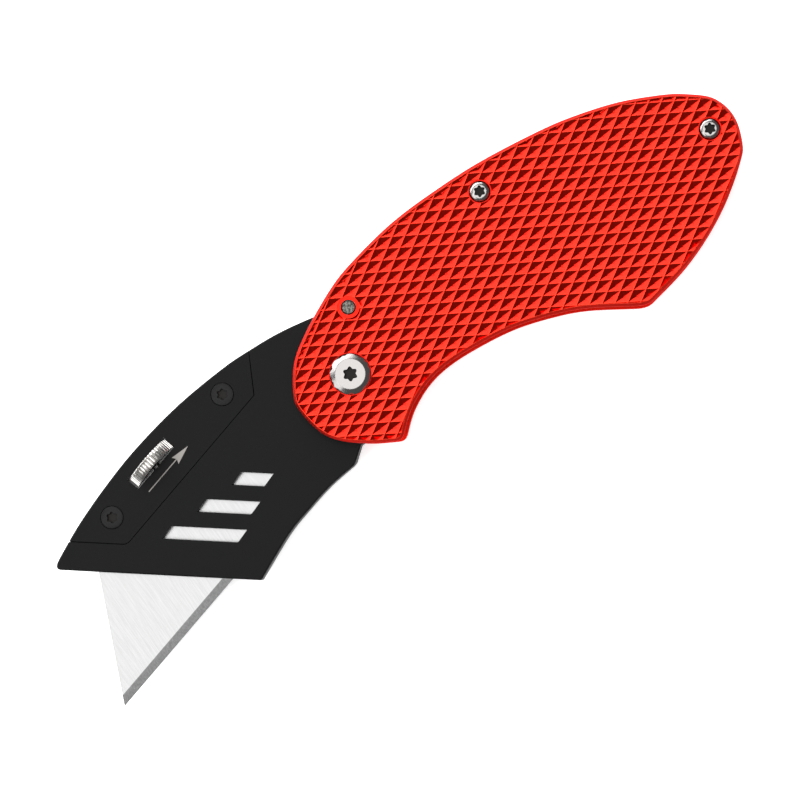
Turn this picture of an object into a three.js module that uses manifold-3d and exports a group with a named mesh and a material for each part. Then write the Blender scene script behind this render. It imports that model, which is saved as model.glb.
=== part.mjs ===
// Folding utility knife, open, lying on its back scale.
// Millimetres. +Z is up through the thickness, +X runs along the handle to the tail, and the pivot axis
// stands on the origin. The blade points to -X with its cutting edge on the -Y side.
import * as THREE from 'three';
import { mergeVertices } from 'three/addons/utils/BufferGeometryUtils.js';
import Module from 'manifold-3d';

const wasm = await Module();
wasm.setup();

// ---- Driving dimensions ------------------------------------------------------------------------

// Clearances
const seatGap = 0.1; // between faces that bear on each other
const runGap = 0.15; // between faces that slide or turn past each other
const fitGap = 0.3; // round pieces that sit loose in a pocket
const holeGap = 0.15; // radial play of a shank or barrel in its hole

// Stack-up, from the middle of the thickness out to each side
const carrierThickness = 4.4;
const washerThickness = 0.3;
const linerThickness = 0.7;
const scaleThickness = 1.8;

// Handle
const tailReach = 80.6; // pivot axis to the end of the handle
const linerInset = 1.3; // liners stay this far inside the scales' outline
const scaleChamfer = 0.5;
const pivotSeatRadius = 3.8;
const screwSeatRadius = 2.1;
const seatDepth = 1.1; // counterbores in the scales
const pinSeatRadius = 1.95;
const pinSeatDepth = 0.35;

// Pivot, stop pin, screws and standoffs
const barrelRadius = 2.5;
const barrelBore = 1.55;
const pivotHeadRadius = 3.65;
const pivotHeadHeight = 0.9;
const pivotRim = [1, 0.45]; // cone round the head's flat face: width and height
const pivotRecess = [1.35, 0.8]; // radius and depth
const pivotShankRadius = 1.4;
const pivotShankEnd = 3; // height of the screw's end inside the barrel
const barrelFloor = 2;
const washerRadius = 5.5;
const stopPinAt = [6.5, 9.75];
const stopPinRadius = 1.2;
const stopPinRecess = 0.25; // pin ends lie this far below the scales
const standoffRadius = 2.0;
const screwHeadRadius = 1.9;
const screwHeadHeight = 0.85;
const screwRimHeight = 0.3;
const screwCrown = [0.7, 0.25, 0.55]; // inset at the crown, and inset and share of height below it
const screwRecess = [1, 0.6];
const screwShankRadius = 1.1;
const middleScrewAt = [37, 12.85];
const tailScrewAt = [tailReach - 4.7, -1.75];
const spacerDepth = 6.6; // back spacer, measured in from the spine
const spacerInset = 0.9;
const spineStart = 0.18; // the strip's ends, as shares of the spine's curve
const spineEnd = 0.787;
const spacerSteps = 16;
const spacerChamfer = 0.3;
const spacerTaper = [0.12, 0.76]; // part of a half wave that the strip's width follows

// Lock
const leafTipX = 7.7;
const leafLength = 36.8;
const leafEdgeY = -2.6; // upper edge of the leaf at its tip
const leafRootY = -8.5; // and at its root
const leafDrop = 1.35; // how far the tip springs in behind the tang
const leafGap = 0.3;
const ballRadius = 0.75;
const ballAt = [8.9, -4.6];
const detentDepth = 0.25; // how far the ball reaches into the carrier

// Blade: a standard trapezoid utility blade
const bladeLength = 61;
const bladeWidth = 19;
const bladeThickness = 0.65;
const bladeInset = 15; // the spine is shorter than the edge by this at each end
const bladeBevel = 1.5;
const edgeThickness = 0.04;
const notchSpacing = 10.8;
const notchWidth = 2.6;
const notchDepth = 2.2;
const bladeMiddleAt = [-37.5, -16.9]; // middle of the cutting edge
const bladeAngle = THREE.MathUtils.degToRad(14);
const slotGap = 0.3; // blade to the walls of its slot

// Carrier
const foldAngle = THREE.MathUtils.degToRad(160);
const tangRadius = 9.6;
const shoulderRadius = 12.3; // reach of the tang's two stop faces
const lockFaceX = 7.4;
const lockNotchTop = -1.9;
const carrierChamfer = 0.25;
const mouthAngle = THREE.MathUtils.degToRad(-52.2); // measured from the cutting edge
const guardDrop = 4.1; // the mouth's lower corner reaches this far past the cutting edge
const coverThickness = 1.3;
const coverLap = 0.8; // the cover laps over the blade's spine
const seamWidth = 0.12;
const coverScrewHeadRadius = 2.0;
const coverScrewHeadHeight = 0.8;
const coverScrewShankRadius = 0.8;
const coverScrewDepth = 1.6; // thread below the cover
const coverScrewEdge = 0.1;
const coverRecess = [0.98, 0.6];
const windowCount = 3;
const windowWidth = 2.75;
const windowPitch = 7.65;
const windowLengths = [13.5, -3.85]; // first window, and the change from one to the next
const windowStart = [-3.4, 4.95]; // along the blade, and below its spine
const windowDrop = 1.6; // each window starts this much further below the spine

// Blade clamp: a knurled wheel on a screw that drives a latch into the blade's notch
const wheelRadius = 4.9;
const wheelWidth = 2.1;
const wheelRise = 5.3; // wheel's middle above the blade's spine
const wheelTeeth = 50;
const toothDepth = 0.28;
const wheelPocketGap = 0.25;
const spindleRadius = 0.75;
const spindleTopReach = 1.1; // past the wheel, into the carrier's outer wall
const spindleStart = 0.5; // above the blade's spine
const latchOverhang = 1.8; // past the notch at one end and the spindle at the other
const latchWidth = 1.3;
const latchTravel = 1.4;
const toothLength = 1.9;
const toothReach = 1.2; // into the blade's notch
const latchHalfHeight = 1.05;
const toothHalfThickness = 0.45;

const curveSteps = 4; // straight steps between two points of a curved outline
const roundSteps = 24; // flats round a turned piece
const smallRoundSteps = 16;
const starSteps = 30;
const overcut = 1; // cutting bodies run this far past the faces they cut

// ---- Derived places ----------------------------------------------------------------------------

const channelHalf = carrierThickness / 2 + runGap + washerThickness + runGap;
const linerOuter = channelHalf + linerThickness;
const scaleInner = linerOuter + seatGap;
const halfThickness = scaleInner + scaleThickness;
const middle = halfThickness; // height of the middle plane above the rest plane
const top = middle + halfThickness;
const carrierTop = middle + carrierThickness / 2;
const carrierBottom = middle - carrierThickness / 2;
const coverBottom = carrierTop - coverThickness;
const spindleHeight = coverBottom - runGap - spindleRadius; // the spindle lies just under the cover
const seatFloor = top - seatDepth;
const leafRootX = leafTipX + leafLength;
const leafAngle = Math.asin(leafDrop / leafLength);

const u = new THREE.Vector2(Math.cos(bladeAngle), Math.sin(bladeAngle));
const v = new THREE.Vector2(-u.y, u.x);

// A place given along the blade from its middle, and up from its cutting edge.
function onBlade(along, up) {
  return [
    bladeMiddleAt[0] + u.x * along + v.x * up,
    bladeMiddleAt[1] + u.y * along + v.y * up,
  ];
}

// A place given as an angle and a radius about the pivot.
function aboutPivot(angle, radius) {
  return [radius * Math.cos(angle), radius * Math.sin(angle)];
}

const pinAngle = Math.atan2(stopPinAt[1], stopPinAt[0]);
const pinReach = Math.hypot(...stopPinAt);
const pinHalfAngle = Math.asin((stopPinRadius + runGap) / pinReach);
const openStop = pinAngle + pinHalfAngle;
const closedStop = pinAngle - pinHalfAngle - foldAngle;
const ballAngle = Math.atan2(ballAt[1], ballAt[0]) - foldAngle;
const detentAt = aboutPivot(ballAngle, Math.hypot(...ballAt));
const wheelAlong = notchSpacing / 2;
const wheelUp = bladeWidth + wheelRise;
const latchLength = notchSpacing + 2 * latchOverhang;
const coverScrewsAt = [onBlade(-6.4, bladeWidth + 4.3), onBlade(22.9, bladeWidth + 3.55)];

// ---- Outlines ----------------------------------------------------------------------------------

const point = ([x, y]) => new THREE.Vector2(x, y);
const points = (list) => list.map(point);

// The handle's outline, counter-clockwise. Behind the pivot the x values are shares of the tail reach.
function handleShape() {
  const back = (share, y) => point([share * tailReach, y]);
  const shape = new THREE.Shape();
  shape.moveTo(0.624 * tailReach, -20.4);
  shape.splineThru([
    back(0.72, -18.95), back(0.805, -16.65), back(0.885, -13.45), back(0.952, -9.65),
    back(0.98, -7.2), back(1, -2.4), back(0.987, 2.2), back(0.942, 5.75), back(0.898, 8.1),
    back(0.815, 11.4), back(0.724, 13.85), back(0.641, 15.4), back(0.506, 17), back(0.393, 17.55),
    back(0.264, 17.4), back(0.136, 15.75), point([5.1, 13.95]), point([-2, 10.6]),
    point([-6.9, 7.4]), point([-10.4, 2.7]), point([-11.05, -0.3]), point([-10.25, -5.2]),
    point([-8.2, -8.55]), point([-4.5, -11.7]), point([-0.4, -14.2]),
  ]);
  shape.quadraticCurveTo(0.6, -14.85, 1.5, -14.15);
  shape.splineThru([
    point([5, -11.4]), point([9.6, -9.3]), point([14.5, -8.5]), point([20.6, -8.8]),
    back(0.346, -9.95), back(0.43, -12.15), back(0.5, -14.75), back(0.585, -19.2),
  ]);
  shape.quadraticCurveTo(0.609 * tailReach, -20.55, 0.624 * tailReach, -20.4);
  return shape;
}

// The spine alone, from the tail to the front, for pieces that follow it.
function spineCurve() {
  const share = (x, y) => point([x * tailReach, y]);
  return new THREE.SplineCurve([
    share(0.942, 5.75), share(0.815, 11.4), share(0.641, 15.4), share(0.506, 17),
    share(0.393, 17.55), share(0.264, 17.4), share(0.136, 15.75),
  ]);
}

// The carrier's outline, counter-clockwise, from the mouth's lower corner round the tang and back.
function carrierShape() {
  const margin = (along, past) => point(onBlade(along, bladeWidth + past));
  const mouth = new THREE.Vector2(Math.cos(mouthAngle), Math.sin(mouthAngle));
  const upperCorner = [-20.25, bladeWidth + 6.25];
  const mouthLength = (upperCorner[1] + guardDrop) / -mouth.y;
  const alongMouth = (run) => onBlade(upperCorner[0] + mouth.x * run, upperCorner[1] + mouth.y * run);
  const shape = new THREE.Shape();
  shape.moveTo(...alongMouth(mouthLength));
  shape.splineThru(points([[-25.5, -16.55], [-20.2, -15.05], [-14.5, -13.8], [-9.3, -13.3]]));
  shape.quadraticCurveTo(-8.5, -13.2, -7.95, -12.65);
  shape.lineTo(-5.9, -11.1);
  shape.lineTo(...aboutPivot(closedStop, shoulderRadius - 0.4));
  shape.lineTo(...aboutPivot(closedStop, tangRadius));
  const lockFaceEnd = -Math.acos(lockFaceX / tangRadius);
  shape.absarc(0, 0, tangRadius, closedStop, lockFaceEnd, false);
  shape.lineTo(lockFaceX, lockNotchTop);
  const notchEnd = Math.asin(lockNotchTop / tangRadius);
  shape.lineTo(...aboutPivot(notchEnd, tangRadius));
  shape.absarc(0, 0, tangRadius, notchEnd, openStop, false);
  shape.lineTo(...aboutPivot(openStop, shoulderRadius));
  shape.splineThru([
    point([-1, 12.55]), point([-6.3, 13.55]), margin(32.8, 4.7), margin(26.5, 6.5),
    margin(16, 8.35), margin(5.4, 9.05), margin(-2.9, 8.8), margin(-11.1, 8),
    margin(upperCorner[0] + 2.1, 6.7),
  ]);
  shape.quadraticCurveTo(...onBlade(...upperCorner), ...alongMouth(1.3));
  shape.closePath();
  return shape;
}

// The cover's share of the carrier: everything above the seam, with a small radius at its corner.
function coverShape(grow) {
  const seamUp = bladeWidth - coverLap - grow;
  const corner = [-8.2 - grow, seamUp];
  const mouthStep = 12;
  const frontTop = [
    corner[0] - Math.cos(mouthAngle) * mouthStep,
    corner[1] - Math.sin(mouthAngle) * mouthStep,
  ];
  const shape = new THREE.Shape();
  shape.moveTo(...onBlade(...frontTop));
  shape.lineTo(...onBlade(corner[0] - 0.5, corner[1] + 0.65));
  shape.quadraticCurveTo(...onBlade(...corner), ...onBlade(corner[0] + 0.85, corner[1]));
  shape.lineTo(...onBlade(26.4 + grow, seamUp));
  shape.lineTo(...onBlade(34.5 + grow, bladeWidth + 8));
  shape.lineTo(...onBlade(26, bladeWidth + 16));
  shape.closePath();
  return shape;
}

function bladeShape(grow, reach) {
  const slope = bladeInset / bladeWidth;
  const side = grow * Math.hypot(1, slope);
  const half = bladeLength / 2;
  const list = [
    [-half - side - slope * grow - reach, -grow],
    [half + side + slope * grow, -grow],
    [half + side - slope * (bladeWidth + grow), bladeWidth + grow],
    [-half - side + slope * (bladeWidth + grow) - reach, bladeWidth + grow],
  ];
  return new THREE.Shape(list.map((p) => point(onBlade(...p))));
}

function windowShape(index) {
  const endTurn = THREE.MathUtils.degToRad(4.5);
  const length = windowLengths[0] + windowLengths[1] * index;
  const start = [
    windowStart[0] + windowPitch * index,
    bladeWidth - windowStart[1] - windowDrop * index,
  ];
  const across = [windowWidth * Math.cos(endTurn), windowWidth * Math.sin(endTurn)];
  const down = [length * Math.cos(mouthAngle), length * Math.sin(mouthAngle)];
  return new THREE.Shape([
    point(onBlade(...start)),
    point(onBlade(start[0] + down[0], start[1] + down[1])),
    point(onBlade(start[0] + down[0] + across[0], start[1] + down[1] + across[1])),
    point(onBlade(start[0] + across[0], start[1] + across[1])),
  ]);
}

// A rectangle in the blade's directions: length along the edge, from one height to another.
function bladeRectangle(along, length, low, high) {
  const half = length / 2;
  return new THREE.Shape([
    point(onBlade(along - half, low)),
    point(onBlade(along + half, low)),
    point(onBlade(along + half, high)),
    point(onBlade(along - half, high)),
  ]);
}

// The stretch of the front liner that is cut free as the lock leaf.
function leafShape(grow) {
  const below = -40;
  return new THREE.Shape(points([
    [leafTipX - grow, leafEdgeY + grow],
    [leafTipX - grow, below],
    [leafRootX + grow, below],
    [leafRootX + grow, leafRootY + grow],
  ]));
}

function starShape(radius) {
  const shape = [];
  for (let i = 0; i < starSteps; i += 1) {
    const angle = (i / starSteps) * 2 * Math.PI;
    const reach = radius * (0.87 + 0.13 * Math.cos(6 * angle));
    shape.push(point([reach * Math.cos(angle), reach * Math.sin(angle)]));
  }
  return new THREE.Shape(shape);
}

function gearShape(radius, teeth, depth) {
  const list = [];
  const corners = [[0, depth], [0.3, 0], [0.6, 0], [0.9, depth]];
  for (let i = 0; i < teeth; i += 1) {
    for (const [share, sink] of corners) {
      const angle = ((i + share) / teeth) * 2 * Math.PI;
      list.push(point([(radius - sink) * Math.cos(angle), (radius - sink) * Math.sin(angle)]));
    }
  }
  return new THREE.Shape(list);
}

// ---- Solids ------------------------------------------------------------------------------------

function solid(geometry) {
  const bare = geometry.clone();
  bare.deleteAttribute('normal');
  bare.deleteAttribute('uv');
  const merged = mergeVertices(bare, 1e-4);
  const index = Array.from(merged.index.array);
  const faces = [];
  for (let i = 0; i < index.length; i += 3) {
    const [a, b, c] = index.slice(i, i + 3);
    if (a !== b && b !== c && c !== a) faces.push(a, b, c);
  }
  return new wasm.Manifold(new wasm.Mesh({
    numProp: 3,
    vertProperties: new Float32Array(merged.attributes.position.array),
    triVerts: new Uint32Array(faces),
  }));
}

function piece(name, body, material) {
  const { vertProperties, triVerts } = body.getMesh();
  const geometry = new THREE.BufferGeometry();
  geometry.setAttribute('position', new THREE.BufferAttribute(vertProperties, 3));
  geometry.setIndex(new THREE.BufferAttribute(triVerts, 1));
  geometry.computeVertexNormals();
  const mesh = new THREE.Mesh(geometry, material);
  mesh.name = name;
  return mesh;
}

// The shape's outline with repeated points taken out.
function cleaned(shape) {
  const list = shape.getPoints(curveSteps);
  const apart = (a, b) => a.distanceTo(b) > 0.01;
  return new THREE.Shape(list.filter((at, i) => apart(at, list[(i + 1) % list.length])));
}

// A flat plate between two heights, with both rims chamfered. Its wall can stand inside the outline.
function plate(shape, low, high, chamfer = 0, inset = 0) {
  const geometry = new THREE.ExtrudeGeometry(cleaned(shape), {
    depth: high - low - 2 * chamfer,
    bevelEnabled: chamfer > 0 || inset > 0,
    bevelThickness: chamfer,
    bevelSize: chamfer,
    bevelOffset: -chamfer - inset,
    bevelSegments: 1,
  });
  geometry.translate(0, 0, low + chamfer);
  return solid(geometry);
}

// A piece turned about an upright axis: its profile runs up from the axis, out and back to the axis.
function turned(profile, [x, y] = [0, 0], segments = roundSteps) {
  const geometry = new THREE.LatheGeometry(points(profile), segments);
  geometry.rotateX(Math.PI / 2);
  geometry.translate(x, y, 0);
  return solid(geometry);
}

function rod(radius, low, high, at, segments) {
  return turned([[0, low], [radius, low], [radius, high], [0, high]], at, segments);
}

// The same solid on the other side of the middle plane.
function mirrored(body) {
  return body.mirror([0, 0, 1]).translate([0, 0, 2 * middle]);
}

// Turns a solid drawn about Z at the origin so that it lies on an axis across the blade.
function acrossBlade(geometry, along, up) {
  const [x, y] = onBlade(along, up);
  const turn = new THREE.Matrix4().makeBasis(
    new THREE.Vector3(u.x, u.y, 0),
    new THREE.Vector3(0, 0, -1),
    new THREE.Vector3(v.x, v.y, 0),
  );
  turn.setPosition(x, y, spindleHeight);
  return solid(geometry.applyMatrix4(turn));
}

// ---- Materials ---------------------------------------------------------------------------------

const metal = (color, roughness, metalness) => (
  new THREE.MeshStandardMaterial({ color, roughness, metalness })
);
const redAluminium = metal(0xd8281a, 0.4, 0.6);
const linerSteel = metal(0xa9abad, 0.35, 0.9);
const blackAluminium = metal(0x242426, 0.5, 0.4);
const blackPlastic = metal(0x1c1c1d, 0.6, 0);
const bladeSteel = metal(0xd9dbdd, 0.25, 1);
const brightSteel = metal(0xc4c6c8, 0.25, 1);
const wheelSteel = metal(0x9c9c9a, 0.35, 1);
const blackScrew = metal(0x18181a, 0.4, 0.6);
const washerBronze = metal(0xb08a4e, 0.4, 0.8);

// ---- Handle ------------------------------------------------------------------------------------

// The upper scale: its outer rim is chamfered, and each fastener has a counterbore.
function scale() {
  const full = plate(handleShape(), middle, top, scaleChamfer);
  const below = middle + scaleInner;
  const above = top + overcut;
  const keep = rod(2 * tailReach, below, above);
  const seats = [
    rod(pivotSeatRadius, seatFloor, above, [0, 0], 2 * smallRoundSteps),
    rod(barrelRadius + holeGap, middle, above),
    rod(screwSeatRadius, seatFloor, above, middleScrewAt),
    rod(screwShankRadius + holeGap, middle, above, middleScrewAt),
    rod(screwSeatRadius, seatFloor, above, tailScrewAt),
    rod(screwShankRadius + holeGap, middle, above, tailScrewAt),
    rod(pinSeatRadius, top - pinSeatDepth, above, stopPinAt),
    rod(stopPinRadius + holeGap, middle, above, stopPinAt),
  ];
  return seats.reduce((body, seat) => body.subtract(seat), full.intersect(keep));
}

// A steel plate just inside the scale, with holes for everything that crosses it.
function liner() {
  const full = plate(handleShape(), middle + channelHalf, middle + linerOuter, 0, linerInset);
  const holes = [
    rod(barrelRadius + holeGap, middle, top),
    rod(stopPinRadius + holeGap, middle, top, stopPinAt),
    rod(screwShankRadius + holeGap, middle, top, middleScrewAt),
    rod(screwShankRadius + holeGap, middle, top, tailScrewAt),
  ];
  return holes.reduce((body, hole) => body.subtract(hole), full);
}

function frontLiner() {
  return liner().subtract(plate(leafShape(leafGap), middle, top));
}

// The leaf swings about a line across its root, so that its tip drops behind the tang.
function springIn(body) {
  const root = [leafRootX, 0, middle + (channelHalf + linerOuter) / 2];
  const angle = THREE.MathUtils.radToDeg(-leafAngle);
  return body
    .translate(root.map((value) => -value))
    .rotate([0, angle, 0])
    .translate(root);
}

function lockLeaf() {
  const leaf = liner().intersect(plate(leafShape(0), middle, top));
  const ballHole = rod(ballRadius + seatGap, middle, top, ballAt, smallRoundSteps);
  return springIn(leaf.subtract(ballHole));
}

function detentBall() {
  const ball = new THREE.SphereGeometry(ballRadius, smallRoundSteps, 8);
  ball.translate(...ballAt, carrierTop - detentDepth + ballRadius);
  return springIn(solid(ball));
}

// A moulded strip between the liners that closes the spine, with holes for the middle standoff.
function backSpacer() {
  const curve = spineCurve();
  const outer = [];
  const inner = [];
  const [taperStart, taperRange] = spacerTaper;
  for (let i = 0; i <= spacerSteps; i += 1) {
    const run = i / spacerSteps;
    const t = spineStart + (spineEnd - spineStart) * run;
    const at = curve.getPoint(t);
    const along = curve.getTangent(t);
    const inward = new THREE.Vector2(-along.y, along.x);
    const taper = Math.sin(Math.PI * (taperStart + taperRange * run));
    outer.push(at.clone().addScaledVector(inward, spacerInset));
    inner.push(at.clone().addScaledVector(inward, spacerInset + (spacerDepth - spacerInset) * taper));
  }
  const strip = new THREE.Shape([...outer, ...inner.reverse()]);
  const half = channelHalf - runGap;
  const hole = rod(standoffRadius + holeGap, 0, top, middleScrewAt);
  return plate(strip, middle - half, middle + half, spacerChamfer).subtract(hole);
}

function standoff(at) {
  const half = channelHalf - seatGap;
  const tube = rod(standoffRadius, middle - half, middle + half, at);
  return tube.subtract(rod(screwShankRadius + holeGap, 0, top, at));
}

// A button-head screw with a six-lobed recess; its shank runs down into a standoff.
function handleScrew(at) {
  const base = seatFloor + seatGap;
  const crown = base + screwHeadHeight;
  const shankEnd = middle + fitGap;
  const [crownInset, sideInset, sideShare] = screwCrown;
  const sideTop = base + screwRimHeight + sideShare * (screwHeadHeight - screwRimHeight);
  const screw = turned([
    [0, shankEnd], [screwShankRadius, shankEnd], [screwShankRadius, base], [screwHeadRadius, base],
    [screwHeadRadius, base + screwRimHeight], [screwHeadRadius - sideInset, sideTop],
    [screwHeadRadius - crownInset, crown], [0, crown],
  ], at);
  const [recessRadius, recessDepth] = screwRecess;
  const star = plate(starShape(recessRadius), crown - recessDepth, crown + overcut)
    .translate([...at, 0]);
  return screw.subtract(star);
}

function pivotScrew() {
  const base = seatFloor + seatGap;
  const crown = base + pivotHeadHeight;
  const [rimWidth, rimHeight] = pivotRim;
  const screw = turned([
    [0, pivotShankEnd], [pivotShankRadius, pivotShankEnd], [pivotShankRadius, base],
    [pivotHeadRadius, base], [pivotHeadRadius, crown - rimHeight],
    [pivotHeadRadius - rimWidth, crown], [0, crown],
  ], [0, 0], 2 * smallRoundSteps);
  const [recessRadius, recessDepth] = pivotRecess;
  return screw.subtract(plate(starShape(recessRadius), crown - recessDepth, crown + overcut));
}

// The barrel's flat head is flush with the back scale, and its tube carries the carrier.
function pivotBarrel() {
  const headTop = seatDepth - seatGap;
  const tubeTop = seatFloor - seatGap;
  const barrel = turned([
    [0, 0], [pivotHeadRadius, 0], [pivotHeadRadius, headTop], [barrelRadius, headTop],
    [barrelRadius, tubeTop], [0, tubeTop],
  ], [0, 0], 2 * smallRoundSteps);
  return barrel.subtract(rod(barrelBore, barrelFloor, top));
}

function washer() {
  const low = carrierTop + runGap;
  const ring = rod(washerRadius, low, low + washerThickness);
  return ring.subtract(rod(barrelRadius + holeGap, 0, top));
}

function stopPin() {
  return rod(stopPinRadius, stopPinRecess, top - stopPinRecess, stopPinAt);
}

// ---- Blade carrier -----------------------------------------------------------------------------

function carrierPlate() {
  return plate(carrierShape(), carrierBottom, carrierTop, carrierChamfer);
}

function wheelPocket(clear) {
  const half = wheelWidth / 2 + wheelPocketGap;
  const length = 2 * (wheelRadius + clear);
  const hole = bladeRectangle(wheelAlong, length, wheelUp - half, wheelUp + half);
  return plate(hole, 0, top);
}

// Room for the latch and the spindle, open towards the cover.
function latchPocket() {
  const floor = spindleHeight - latchHalfHeight - runGap;
  const ceiling = coverBottom;
  const latchRoom = bladeRectangle(
    0, latchLength + 2 * runGap, bladeWidth,
    bladeWidth + fitGap + latchWidth + latchTravel + runGap,
  );
  const spindleRoom = bladeRectangle(
    wheelAlong, 2 * (spindleRadius + runGap), bladeWidth,
    wheelUp + wheelWidth / 2 + spindleTopReach + fitGap,
  );
  return plate(latchRoom, floor, ceiling).add(plate(spindleRoom, floor, ceiling));
}

function carrierBody() {
  const slotHalf = bladeThickness / 2 + slotGap;
  const rebateFloor = coverBottom - seatGap;
  const cuts = [
    plate(coverShape(seamWidth), rebateFloor, top),
    plate(bladeShape(slotGap, 0), middle - slotHalf, middle + slotHalf),
    wheelPocket(wheelPocketGap),
    latchPocket(),
    rod(barrelRadius + holeGap, 0, top, [0, 0], 2 * smallRoundSteps),
    rod(ballRadius + holeGap, carrierTop - 2 * detentDepth, top, detentAt, smallRoundSteps),
  ];
  for (let i = 0; i < windowCount; i += 1) cuts.push(plate(windowShape(i), 0, top));
  for (const at of coverScrewsAt) {
    const threadEnd = rebateFloor - coverScrewDepth - fitGap;
    cuts.push(rod(coverScrewShankRadius + holeGap, threadEnd, top, at, smallRoundSteps));
  }
  return cuts.reduce((body, cut) => body.subtract(cut), carrierPlate());
}

function carrierCover() {
  const share = plate(coverShape(0), coverBottom, top);
  let cover = carrierPlate().intersect(share).subtract(wheelPocket(seatGap));
  for (const at of coverScrewsAt) {
    const headFloor = carrierTop - coverScrewHeadHeight - seatGap;
    cover = cover
      .subtract(rod(coverScrewHeadRadius + seatGap, headFloor, top, at))
      .subtract(rod(coverScrewShankRadius + holeGap, 0, top, at, smallRoundSteps));
  }
  return cover;
}

function coverScrew(at) {
  const base = carrierTop - coverScrewHeadHeight;
  const shankEnd = coverBottom - seatGap - coverScrewDepth;
  const screw = turned([
    [0, shankEnd], [coverScrewShankRadius, shankEnd], [coverScrewShankRadius, base],
    [coverScrewHeadRadius, base], [coverScrewHeadRadius, carrierTop - coverScrewEdge],
    [coverScrewHeadRadius - coverScrewEdge, carrierTop], [0, carrierTop],
  ], at);
  const [recessRadius, recessDepth] = coverRecess;
  const star = plate(starShape(recessRadius), carrierTop - recessDepth, top).translate([...at, 0]);
  return screw.subtract(star);
}

// A flat blank with a ground bevel on both sides of its edge, and two notches in its spine.
function blade() {
  const half = bladeThickness / 2;
  const edge = edgeThickness / 2;
  const section = new THREE.Shape(points([
    [0, -edge], [bladeBevel, -half], [bladeWidth, -half], [bladeWidth, half], [bladeBevel, half],
    [0, edge],
  ]));
  const bar = new THREE.ExtrudeGeometry(section, { depth: bladeLength, bevelEnabled: false });
  const [x, y] = onBlade(-bladeLength / 2, 0);
  const turn = new THREE.Matrix4().makeBasis(
    new THREE.Vector3(v.x, v.y, 0),
    new THREE.Vector3(0, 0, 1),
    new THREE.Vector3(u.x, u.y, 0),
  );
  turn.setPosition(x, y, middle);
  let body = solid(bar.applyMatrix4(turn)).intersect(plate(bladeShape(0, 0), 0, top));
  for (const side of [-1, 1]) {
    const along = (side * notchSpacing) / 2;
    const notch = bladeRectangle(along, notchWidth, bladeWidth - notchDepth, bladeWidth + overcut);
    body = body.subtract(plate(notch, 0, top));
  }
  return body;
}

// ---- Blade clamp -------------------------------------------------------------------------------

function thumbwheel() {
  const geometry = new THREE.ExtrudeGeometry(gearShape(wheelRadius, wheelTeeth, toothDepth), {
    depth: wheelWidth,
    bevelEnabled: false,
  });
  geometry.translate(0, 0, -wheelWidth / 2);
  const bore = new THREE.CylinderGeometry(
    spindleRadius + seatGap, spindleRadius + seatGap, 2 * wheelWidth, smallRoundSteps,
  );
  bore.rotateX(Math.PI / 2);
  return acrossBlade(geometry, wheelAlong, wheelUp)
    .subtract(acrossBlade(bore, wheelAlong, wheelUp));
}

function wheelSpindle() {
  const low = bladeWidth + spindleStart;
  const high = wheelUp + wheelWidth / 2 + spindleTopReach;
  const geometry = new THREE.CylinderGeometry(spindleRadius, spindleRadius, high - low, smallRoundSteps);
  geometry.rotateX(Math.PI / 2);
  return acrossBlade(geometry, wheelAlong, (low + high) / 2);
}

// The latch bar runs on the spindle's thread. Its tooth stands in the blade's other notch.
function latchBar() {
  const low = bladeWidth + fitGap;
  const bar = plate(
    bladeRectangle(0, latchLength, low, low + latchWidth),
    spindleHeight - latchHalfHeight, coverBottom - runGap,
  );
  const tooth = plate(
    bladeRectangle(-wheelAlong, toothLength, bladeWidth - toothReach, low + latchWidth / 2),
    middle - toothHalfThickness, middle + toothHalfThickness,
  );
  const bore = new THREE.CylinderGeometry(
    spindleRadius + runGap, spindleRadius + runGap, 2 * latchWidth, smallRoundSteps,
  );
  bore.rotateX(Math.PI / 2);
  const hole = acrossBlade(bore, wheelAlong, low + latchWidth / 2);
  return bar.add(tooth).subtract(hole);
}

// ---- Assembly ----------------------------------------------------------------------------------

const handle = new THREE.Group();
handle.add(
  piece('front_scale', scale(), redAluminium),
  piece('back_scale', mirrored(scale()), redAluminium),
  piece('front_liner', frontLiner(), linerSteel),
  piece('back_liner', mirrored(liner()), linerSteel),
  piece('back_spacer', backSpacer(), blackPlastic),
  piece('standoff_middle', standoff(middleScrewAt), brightSteel),
  piece('standoff_tail', standoff(tailScrewAt), brightSteel),
  piece('front_screw_middle', handleScrew(middleScrewAt), brightSteel),
  piece('front_screw_tail', handleScrew(tailScrewAt), brightSteel),
  piece('back_screw_middle', mirrored(handleScrew(middleScrewAt)), brightSteel),
  piece('back_screw_tail', mirrored(handleScrew(tailScrewAt)), brightSteel),
  piece('pivot_screw', pivotScrew(), brightSteel),
  piece('pivot_barrel', pivotBarrel(), brightSteel),
  piece('front_washer', washer(), washerBronze),
  piece('back_washer', mirrored(washer()), washerBronze),
  piece('stop_pin', stopPin(), brightSteel),
);

const lock = new THREE.Group();
lock.add(
  piece('lock_leaf', lockLeaf(), linerSteel),
  piece('detent_ball', detentBall(), brightSteel),
);

const carrier = new THREE.Group();
carrier.add(
  piece('carrier_body', carrierBody(), blackAluminium),
  piece('carrier_cover', carrierCover(), blackAluminium),
  piece('cover_screw_front', coverScrew(coverScrewsAt[0]), blackScrew),
  piece('cover_screw_rear', coverScrew(coverScrewsAt[1]), blackScrew),
  piece('blade', blade(), bladeSteel),
);

const clamp = new THREE.Group();
clamp.add(
  piece('thumbwheel', thumbwheel(), wheelSteel),
  piece('wheel_spindle', wheelSpindle(), brightSteel),
  piece('latch_bar', latchBar(), brightSteel),
);

const knife = new THREE.Group();
knife.add(handle, lock, carrier, clamp);

export default knife;
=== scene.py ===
import math

import bmesh
import bpy
import numpy as np
from mathutils import Matrix, Vector


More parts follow.
